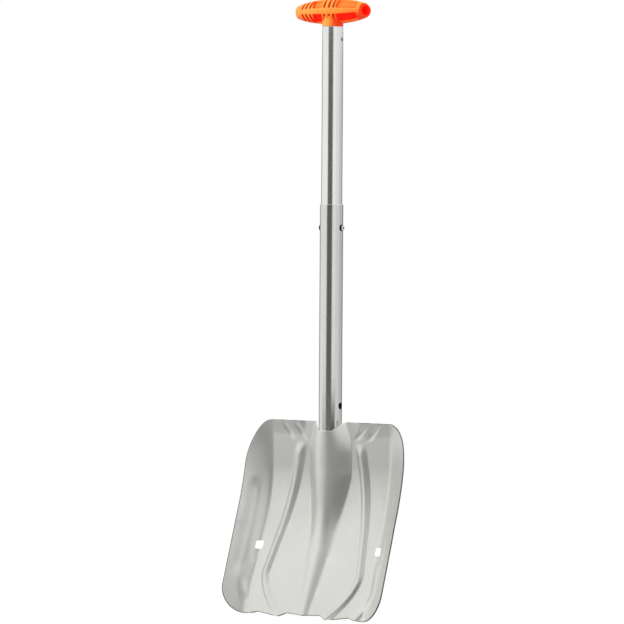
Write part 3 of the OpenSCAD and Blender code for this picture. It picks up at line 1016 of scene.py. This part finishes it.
    def sling_cutter(self, side: int) -> bpy.types.Object:
        """The solid that cuts a sling hole.

        Args:
            side: -1 for the left hole and 1 for the right one.

        Returns:
            A square rod with round corners along Y.
        """
        steps, flat = 10, self.sling_size / 2 - self.sling_round
        ring = []
        for k, (sx, sz) in enumerate(((1, 1), (-1, 1), (-1, -1), (1, -1))):
            for i in range(steps + 1):
                a = math.pi / 2 * (k + i / steps)
                ring.append((side * self.sling_x + sx * flat + self.sling_round * math.cos(a),
                             self.top_z - self.sling_v + sz * flat + self.sling_round * math.sin(a)))
        ends = (-self.height / 2, self.face_back)
        return loft("cutter", [[(x, y, z) for x, z in ring] for y in ends], (Finish.CUT_EDGE,))


# ---------------------------------------------------------------- socket


@dataclass
class Socket:
    """The bracket behind the shaft and its weld beads."""

    bead_leg: float = 2.5
    ripples: int = 6

    def bead(self, side: int) -> bpy.types.Object:
        """One rippled bead, in the corner beside a flange.

        Args:
            side: -1 for the left bead and 1 for the right one.

        Returns:
            The bead.
        """
        low, high = box_mm("socket_welds")
        x0, y0, length = high.x - self.bead_leg, low.y, high.z - low.z
        turns = 8
        steps = turns * self.ripples
        rings = []
        for k in range(steps + 1):
            t = k / steps
            r = self.bead_leg * (0.86 + 0.14 * abs(math.sin(math.pi * self.ripples * t)))
            r *= 0.7 + 0.3 * math.sqrt(max(0.0, math.sin(math.pi * t)))
            ring = [(0.0, 0.0)] + [(r * math.cos(a), r * math.sin(a))
                                   for a in (math.pi / 2 * i / turns for i in range(turns + 1))]
            rings.append([(side * (x0 + dx), y0 + dy, low.z + length * t) for dx, dy in ring])
        return loft("weld_bead", rings, (Finish.WELD,))

    def build(self) -> None:
        """Builds the beads as one piece and dresses the bracket."""
        beads = [self.bead(side) for side in (-1, 1)]
        join(beads, "weld_beads")
        shade(beads[0], 50.0)
        settle(beads[0], "blade", "weld_metal", "socket_welds")
        dress("socket_back", Finish.BRACKET, 0.35)


def join(pieces: Sequence[bpy.types.Object], name: str) -> None:
    """Joins pieces into the first of them.

    Args:
        pieces: the pieces.
        name: the joined piece's name.
    """
    made = bmesh.new()
    for piece in pieces:
        made.from_mesh(piece.data)
    made.to_mesh(pieces[0].data)
    made.free()
    for piece in pieces[1:]:
        bpy.data.objects.remove(piece)
    pieces[0].name = name


# ---------------------------------------------------------------- shaft


@dataclass
class Tube:
    """One of the two tubes, with the holes in it."""

    node: str
    body: str
    slot: str
    finish: Finish
    bore_r: float
    holes: Sequence[tuple[Point, float, float]]
    bevel: float = 0.4
    past: float = 2.0
    crisp_deg: float = 15.0

    def build(self) -> None:
        """Turns the tube, with bare cut ends, and drills its holes."""
        low, high = box_mm(self.node)
        r, b = high.x, self.bevel
        soft = b * 0.3
        profile = [(self.bore_r, low.z), (r - b, low.z), (r - soft, low.z + soft), (r, low.z + b),
                   (r, high.z - b), (r - soft, high.z - soft), (r - b, high.z), (self.bore_r, high.z)]
        # The bore takes the near-black painted shade.
        piece = lathe(self.node + "_tube", profile, (self.finish, Finish.CUT_EDGE, Finish.BORE),
                      (0, 1, 2, 4, 5, 6), 7)
        for way, z, hole_r in self.holes:
            start = Vector((0, 0, z))
            end = start + Vector(way) * (r + self.past)
            cut(piece, [rod(hole_r, start, end, Finish.CUT_EDGE)])
        shade(piece, self.crisp_deg)
        settle(piece, self.body, self.slot, self.node)


@dataclass
class LockArm:
    """A spring leg with its button head riveted on."""

    node: str
    body: str
    turn: float
    button_d: float = 8.5
    dome: float = 1.8
    strip_t: float = 0.8
    strip_w: float = 8.0
    tail_d: float = 5.0
    tail_h: float = 0.8
    strip_over: float = 6.0
    groove: float = 0.15
    steps: int = 14
    sides: int = 64

    def build(self) -> None:
        """Builds the head, its tail and the strip as one piece."""
        low, high = box_mm(self.node)
        back = Matrix.Rotation(-self.turn, 4, "Z")
        corners = [back @ Vector((x, y, 0)) for x in (low.x, high.x) for y in (low.y, high.y)]
        tail, tip = min(c.x for c in corners), max(c.x for c in corners)
        strip_in = tail + self.tail_h
        button_z = high.z - self.strip_over
        head = self.head(strip_in + self.strip_t, tip, button_z)
        rivet = self.tail(tail, strip_in, button_z)
        strip = self.strip(strip_in, low.z, high.z)
        join([head, rivet, strip], self.node + "_piece")
        head.data.transform(Matrix.Rotation(self.turn, 4, "Z"))
        shade(head, 40.0)
        settle(head, self.body, "button_steel", self.node)

    def turned(self, profile: Sequence[tuple[float, float]], z: float) -> bpy.types.Object:
        """Turns a profile about the button's axis, along X.

        Args:
            profile: pairs of radius and distance from the shaft's axis.
            z: the axis's height.

        Returns:
            The object.
        """
        rings = [[(x, r * math.cos(a), z + r * math.sin(a)) for a in around(self.sides)]
                 for r, x in profile]
        return loft("turned", rings, (Finish.BUTTON,))

    def head(self, start: float, tip: float, z: float) -> bpy.types.Object:
        """The post and its domed end, with a painted dark reflection on the post, round the dome's edge and
        in its middle.
        """
        r = self.button_d / 2
        ball = (r * r + self.dome * self.dome) / (2 * self.dome)
        edge = math.asin(r / ball)
        slopes = [edge * (1 - k / self.steps) for k in range(self.steps)]
        dome = [(ball * math.sin(a), tip - ball + ball * math.cos(a)) for a in slopes]
        made = self.turned([(r, start), (r, tip - self.dome - self.groove)] + dome + [(0.02, tip)], z)
        # Painted dark reflection: the post, the dome's outer rings and its middle take the dark colour.
        shares = [1.0, 1.0] + [1.0 if k < 3 or k > 10 else 0.0 for k in range(self.steps)] + [1.0]
        layer = made.data.attributes.new("dark_reflection", "FLOAT", "POINT")
        layer.data.foreach_set("value", [share for share in shares for _ in range(self.sides)])
        return made

    def tail(self, start: float, end: float, z: float) -> bpy.types.Object:
        """The riveted tail inside the strip."""
        r = self.tail_d / 2
        return self.turned([(r * 0.5, start), (r * 0.85, start + 0.2), (r, end - 0.2), (r, end)], z)

    def strip(self, x0: float, z0: float, z1: float) -> bpy.types.Object:
        """The spring strip, its top corners rounded."""
        w, steps = self.strip_w / 2, 8
        outline = [(-w, z0), (w, z0)]
        outline += [(w * math.cos(a), z1 - w + w * math.sin(a))
                    for a in (math.pi * k / steps for k in range(steps + 1))]
        rings = [[(x, y, z) for y, z in outline] for x in (x0, x0 + self.strip_t)]
        return loft("strip", rings, (Finish.BUTTON,))


@dataclass
class Shaft:
    """Both tubes, their plugs, the clips and the pin."""

    hole_r: float = 4.5
    pin_hole_r: float = 2.6
    upper_bore: float = 12.4
    lower_bore: float = 13.8
    lock_pitch: float = 229.0

    def build(self) -> None:
        """Builds every piece of the shaft."""
        lock, blade_lock = (box_mm(node)[1].z - LockArm.strip_over
                            for node in ("right_lock_arm", "blade_lock_arm"))
        pin = sum(corner.z for corner in box_mm("grip_pin")) / 2
        right, left, back = (1.0, 0.0, 0.0), (-1.0, 0.0, 0.0), (0.0, 1.0, 0.0)
        upper = [(right, lock, self.hole_r), (left, lock, self.hole_r), (right, pin, self.pin_hole_r)]
        lower = [(way, z, self.hole_r) for z in (lock, lock - self.lock_pitch) for way in (right, left)]
        lower.append((back, blade_lock, self.hole_r))
        Tube("upper_shaft", "handle", "upper_tube", Finish.UPPER_TUBE, self.upper_bore, upper).build()
        Tube("lower_shaft", "lower_shaft", "lower_tube", Finish.LOWER_TUBE, self.lower_bore, lower).build()
        LockArm("right_lock_arm", "right_lock", 0.0).build()
        LockArm("left_lock_arm", "left_lock", math.pi).build()
        LockArm("blade_lock_arm", "blade_lock", math.pi / 2).build()
        for node in ("upper_shaft_plug", "lower_shaft_plug"):
            dress(node, Finish.PLUG, 0.3)
        for node in ("lock_clip_base", "blade_clip_base"):
            dress(node, Finish.SPRING, 0.1)
        dress("grip_pin", Finish.PIN, 0.3)


# ---------------------------------------------------------------- grip


@dataclass
class Grip:
    """The moulded bar with its pockets and bore, and its neck. Turns are counted from its underside."""

    length: float = 102.0
    mid_r: float = 16.0
    end_r: float = 7.8
    end_round: float = 2.0
    bore_r: float = 5.75
    slant_deg: float = 22.0
    pocket: float = 3.5
    band_deg: float = 30.0
    spine_deg: float = 32.0
    slot_w: float = 2.4
    lean_deg: float = 18.0
    neck_r: float = 13.5
    neck_z: float = -19.5
    corner: float = 1.3
    soft: float = 0.45
    lip_w: float = 0.4
    plain_to: float = 34.0
    bore_lip: float = 6.0
    plug_r: float = 12.3
    hollow_r: float = 8.0
    neck_top: float = -6.0
    rings: int = 270
    turns: int = 240
    slots: Sequence[tuple[float, int]] = ((-37.5, 1), (-31.5, 1), (-25.2, 1), (-4.6, 0), (2.2, 0), (8.7, 0))
    windows: Sequence[tuple[float, float]] = ((-21.8, -8.6), (12.4, 39.5))

    def radius(self, x: float) -> float:
        """The bar's radius, on an ellipse."""
        half = self.length / 2
        a = half / math.sqrt(1 - (self.end_r / self.mid_r) ** 2)
        return self.mid_r * math.sqrt(1 - (x / a) ** 2)

    def depth(self, x: float, turn: float) -> tuple[float, float]:
        """How deep a place on the bar lies.

        Args:
            x: place along the bar.
            turn: angle from the underside, in radians.

        Returns:
            The share of the pockets' depth, and the strength of its painted shade, twice as strong in a slot.
        """
        r = self.radius(x)
        quarter = math.fmod(turn, math.pi / 2)
        if int(turn // (math.pi / 2)) % 2:
            quarter = math.pi / 2 - quarter
        low = math.radians(self.spine_deg / 2)
        high = math.radians(90 - self.band_deg / 2)
        side = (abs(quarter - (low + high) / 2) - (high - low) / 2) * r
        z = r * abs(math.cos(turn))
        lean = math.tan(math.radians(self.lean_deg)) * (z - self.mid_r / 2)
        best = tone = 0.0
        boxes = [(at + leans * lean, self.slot_w / 2, 2) for at, leans in self.slots]
        boxes += [((a + b) / 2, (b - a) / 2, 1) for a, b in self.windows]
        for at, half, strength in boxes:
            across = abs(x - at) - half
            if across > self.soft:
                continue
            corner = min(self.corner, half)
            qx, qy = across + corner, side + corner
            gap = math.hypot(max(qx, 0.0), max(qy, 0.0)) + min(max(qx, qy), 0.0) - corner
            share = 1 - ease(-self.soft, self.soft, gap)
            best, tone = max(best, share), max(tone, share * strength)
        return best, tone

    def mouth_x(self, turn: float, r: float) -> float:
        """Where the slanted right end lies at a turn and radius."""
        tilt = math.tan(math.radians(self.slant_deg))
        return self.length / 2 - self.end_r * tilt + r * math.sin(turn) * tilt

    def build(self) -> None:
        """Builds the bar and its neck."""
        turns = around(self.turns)
        half, join_x, lip = self.length / 2, self.plain_to, self.end_r + self.lip_w
        rings: list[list[Point]] = []
        recess: list[float] = []

        def ring(place: Callable[[float], tuple[float, float, float]]) -> None:
            """Adds a ring of points from each turn's x, radius and recess."""
            spots = [place(turn) for turn in turns]
            rings.append([(x, r * math.sin(turn), -r * math.cos(turn))
                          for turn, (x, r, _) in zip(turns, spots)])
            recess.extend(share for _, _, share in spots)

        body = half - self.end_round
        nose_r = self.radius(-body) - self.end_round
        ring(lambda turn: (-half, self.bore_r + self.lip_w, 0.0))
        for k in range(7):
            a = math.pi / 2 * k / 6
            ring(lambda turn, a=a: (-body - self.end_round * math.cos(a),
                                    nose_r + self.end_round * math.sin(a), 0.0))
        for k in range(1, self.rings):
            plain = mix(-body, half, k / self.rings)

            def place(turn: float, plain: float = plain) -> tuple[float, float, float]:
                """A ring of the bar's skin, drawn in towards the slanted end."""
                x = plain
                if x > join_x:
                    end = self.mouth_x(turn, lip) - 0.5
                    x = join_x + (x - join_x) * (end - join_x) / (half - join_x)
                share, tone = self.depth(x, turn)
                return x, self.radius(x) - self.pocket * share, tone
            ring(place)
        for back, inward in ((0.15, 0.1), (0.0, 0.5)):
            ring(lambda turn, b=back, i=inward: (self.mouth_x(turn, lip - i) - b, lip - i, 0.0))
        # The bore's rings carry a negative recess value, which the grip's finish paints with shade and a red
        # glow.
        ring(lambda turn: (self.mouth_x(turn, self.bore_r + 0.5), self.bore_r + 0.5, -0.6))
        ring(lambda turn: (self.mouth_x(turn, self.bore_r) - 0.5, self.bore_r, -1.0))
        ring(lambda turn: (self.mouth_x(turn, self.bore_r) - self.bore_lip, self.bore_r, -1.0))
        ring(lambda turn: (-half + self.lip_w, self.bore_r, -1.0))
        bar = loft("grip_bar", rings, (Finish.GRIP,), True)
        layer = bar.data.attributes.new("recess", "FLOAT", "POINT")
        layer.data.foreach_set("value", recess)
        shade(bar, 60.0)
        neck = self.neck()
        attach(neck, "handle")
        settle(bar, "handle", "grip_plastic", "grip")

    def neck(self) -> bpy.types.Object:
        """The collar over the shaft and the plug inside it.

        Returns:
            The neck.
        """
        low, _ = box_mm("grip")
        profile = [(self.hollow_r, low.z), (self.plug_r - 0.5, low.z), (self.plug_r, low.z + 0.5),
                   (self.plug_r, self.neck_z), (self.neck_r - 0.3, self.neck_z),
                   (self.neck_r, self.neck_z + 0.3), (self.neck_r, self.neck_z + 1.0),
                   (self.neck_r, self.neck_top), (self.hollow_r, self.neck_top)]
        made = lathe("grip_neck", profile, (Finish.GRIP,))
        shade(made, 50.0)
        return made


# ---------------------------------------------------------------- studio


@dataclass
class Studio:
    """Floor, world, lamps and the cards that the metal mirrors."""

    floor_side: float = 60.0
    floor_share: float = 0.9
    floor_glow: float = 1.05
    world_level: float = 0.82
    blade_z: float = -0.65
    card_gap: float = 0.001

    def seen(self, g: Graph) -> Value:
        """1 for rays that see the background itself."""
        rays = {name: g.node(Kind.LIGHT_PATH, name)
                for name in ("Is Camera Ray", "Is Glossy Ray", "Is Transmission Ray")}
        return sum(rays.values(), start=rays["Is Camera Ray"] * 0.0).at_most(1.0)

    def world(self) -> None:
        """White where it is seen, and a soft grey light otherwise."""
        world = bpy.data.worlds.new("studio")
        world.use_nodes = True
        bpy.context.scene.world = world
        g = Graph(world.node_tree, "ShaderNodeOutputWorld")
        level = self.seen(g).between(self.world_level, 1.0)
        g.close(g.node(Kind.BACKGROUND, Color=WHITE, Strength=level))

    def floor(self, z: float) -> None:
        """A pale floor that keeps the shovel's shadow."""
        side = self.floor_side / MM
        corners = [(-side, -side, z), (side, -side, z), (side, side, z), (-side, side, z)]
        material, g = new_material("pale_floor")
        lit = g.node(Kind.DIFFUSE, Color=(0.8, 0.8, 0.8, 1.0))
        glow = g.node(Kind.EMISSION, Color=WHITE, Strength=self.floor_glow)
        share = self.seen(g) * self.floor_share
        g.close(g.node(Kind.MIX_SHADER, sockets={0: share, 1: lit, 2: glow}))
        self.stand("floor", corners, material)

    def stand(self, name: str, corners: Sequence[Point], material: bpy.types.Material) -> bpy.types.Object:
        """Sets up one flat sheet of the studio.

        Args:
            name: its name.
            corners: its corners in millimetres.
            material: its material.

        Returns:
            The sheet.
        """
        piece = new_piece(name, corners, [list(range(len(corners)))])
        piece.data.materials.append(material)
        return piece

    def lamp(self, name: str, azimuth: float, elevation: float, distance: float, size: float,
             power: float) -> None:
        """A square soft lamp aimed at the middle of the shovel.

        Args:
            name: its name.
            azimuth: degrees round from the front, to the right.
            elevation: degrees above the horizon.
            distance: metres.
            size: metres.
            power: watts.
        """
        light = bpy.data.lights.new(name, "AREA")
        light.size = size
        light.energy = power
        made = new_object(name, light)
        way = direction(azimuth, elevation)
        made.location = MIDDLE + way * distance
        made.rotation_mode = "QUATERNION"
        made.rotation_quaternion = (-way).to_track_quat("-Z", "Y")
        made.visible_glossy = False

    def card(self, name: str, corners: Sequence[Vector], grey: float) -> None:
        """A card that only mirrors see, as a studio's flags are set for metal.

        Args:
            name: its name.
            corners: its corners in metres.
            grey: its level, 0 to 1.
        """
        material, g = new_material(name)
        g.close(g.node(Kind.EMISSION, Color=(grey, grey, grey, 1.0), Strength=1.0))
        piece = self.stand(name, [tuple(c / MM) for c in corners], material)
        for ray in ("camera", "diffuse", "shadow", "transmission"):
            setattr(piece, "visible_" + ray, False)

    def upright(self, name: str, turn: tuple[float, float], height: tuple[float, float],
                distance: float, grey: float) -> None:
        """An upright card round the shovel.

        Args:
            name: its name.
            turn: its ends, in degrees round from the front to the right.
            height: its lower and upper edge in metres.
            distance: metres from the shaft.
            grey: its level.
        """
        left, right = (direction(a, 0.0) * distance for a in turn)
        low, high = (Vector((0, 0, z)) for z in height)
        self.card(name, [left + low, right + low, right + high, left + high], grey)

    def flat(self, name: str, turn: tuple[float, float], reach: tuple[float, float], z: float,
             grey: float) -> None:
        """A card that lies flat round part of the shovel.

        Args:
            name: its name.
            turn: its ends, in degrees round from the front to the right.
            reach: its near and far edge, metres from the shaft.
            z: its height.
            grey: its level.
        """
        steps = [direction(mix(*turn, k / 6), 0.0) for k in range(7)]
        ring = [way * reach[0] for way in steps] + [way * reach[1] for way in reversed(steps)]
        self.card(name, [p + Vector((0, 0, z)) for p in ring], grey)

    def overhead(self, name: str, azimuth: float, elevation: float, distance: float, half_deg: float,
                 grey: float) -> None:
        """A square card above the blade, facing it.

        Args:
            name: its name.
            azimuth: degrees round from the front, to the right.
            elevation: degrees above the horizon.
            distance: metres from the blade.
            half_deg: half its width, in degrees seen from the blade.
            grey: its level.
        """
        way = direction(azimuth, elevation)
        turn = (-way).to_track_quat("Z", "Y")
        half = distance * math.tan(math.radians(half_deg))
        middle = Vector((0, 0, self.blade_z)) + way * distance
        self.card(name, [middle + turn @ Vector((x * half, y * half, 0))
                         for x, y in ((-1, -1), (1, -1), (1, 1), (-1, 1))], grey)

    def build(self) -> None:
        """Sets the studio up."""
        floor = CAD_BOX[0].z
        on_floor = floor + self.card_gap
        self.world()
        self.floor(floor / MM)
        self.lamp("key", -35.0, 48.0, 2.6, 1.6, 32.0)
        self.lamp("fill", 100.0, 20.0, 3.0, 1.6, 10.0)
        self.upright("front_flag", (-17.0, 36.0), (-0.7, 0.25), 1.8, 0.13)
        self.upright("front_low", (-17.0, 36.0), (floor, -0.7), 1.8, 0.38)
        self.upright("left_low", (-60.0, -17.0), (floor, -0.62), 1.5, 0.3)
        self.upright("right_low", (36.0, 47.0), (floor, -0.64), 1.5, 0.35)
        self.upright("dome_flag", (34.0, 74.0), (floor, -0.53), 0.45, 0.0)
        self.upright("right_soft", (70.0, 112.0), (floor, 0.1), 2.2, 0.85)
        self.upright("right_grey", (112.0, 160.0), (floor, 0.1), 2.2, 0.64)
        self.upright("back_left", (-151.0, -105.0), (-0.7, 0.1), 2.0, 0.35)
        self.upright("back_right", (160.0, 209.0), (-0.7, 0.1), 2.0, 0.28)
        self.overhead("crown", 22.0, 43.0, 2.0, 12.0, 0.25)
        self.flat("floor_flag", (-17.0, 36.0), (0.25, 1.55), on_floor, 0.32)
        self.flat("floor_right", (36.0, 74.0), (0.12, 0.45), on_floor, 0.05)
        self.flat("floor_grey", (-60.0, -17.0), (0.25, 1.3), on_floor, 0.35)
        self.flat("back_floor", (150.0, 212.0), (0.3, 1.5), on_floor, 0.5)


@dataclass
class Camera:
    """The photograph's view: level with the upper shaft, turned to the right of the shovel."""

    azimuth: float = 29.0
    distance: float = 3.9
    height: float = -0.2741
    focal_px: float = 3030.0
    axis_px: float = 331.0
    horizon_px: float = 225.0
    roll: float = 0.36

    def build(self) -> None:
        """Aims a camera without any shift."""
        data = bpy.data.cameras.new("camera")
        data.sensor_width = SENSOR_MM
        data.lens = self.focal_px * SENSOR_MM / IMAGE_SIDE
        data.clip_end = 100.0
        made = new_object("camera", data)
        out = direction(self.azimuth, 0.0)
        made.location = out * self.distance + Vector((0, 0, self.height))
        right, up, ahead = Vector((-out.y, out.x, 0)), Vector((0, 0, 1)), -out
        aim = (ahead * self.focal_px + right * (IMAGE_SIDE / 2 - self.axis_px)
               - up * (IMAGE_SIDE / 2 - self.horizon_px)).normalized()
        side = aim.cross(up).normalized()
        top = side.cross(aim)
        lean = math.radians(self.roll)
        side, top = side * math.cos(lean) + top * math.sin(lean), top * math.cos(lean) - side * math.sin(lean)
        turned = Matrix((side, top, -aim)).transposed().to_4x4()
        made.matrix_world = Matrix.Translation(made.location) @ turned
        bpy.context.scene.camera = made


def main() -> None:
    """Builds the camera, the studio and every piece in order."""
    logging.basicConfig(level=logging.INFO, format="%(name)s: %(message)s")
    bpy.context.scene.view_settings.view_transform = "Standard"
    Camera().build()
    Studio().build()
    low, high = box_mm("lower_shaft")
    Blade(top_z=low.z + SOCKET_DEPTH, shaft_r=high.x).build()
    Socket().build()
    Shaft().build()
    Grip().build()


if __name__ == "__main__":
    main()
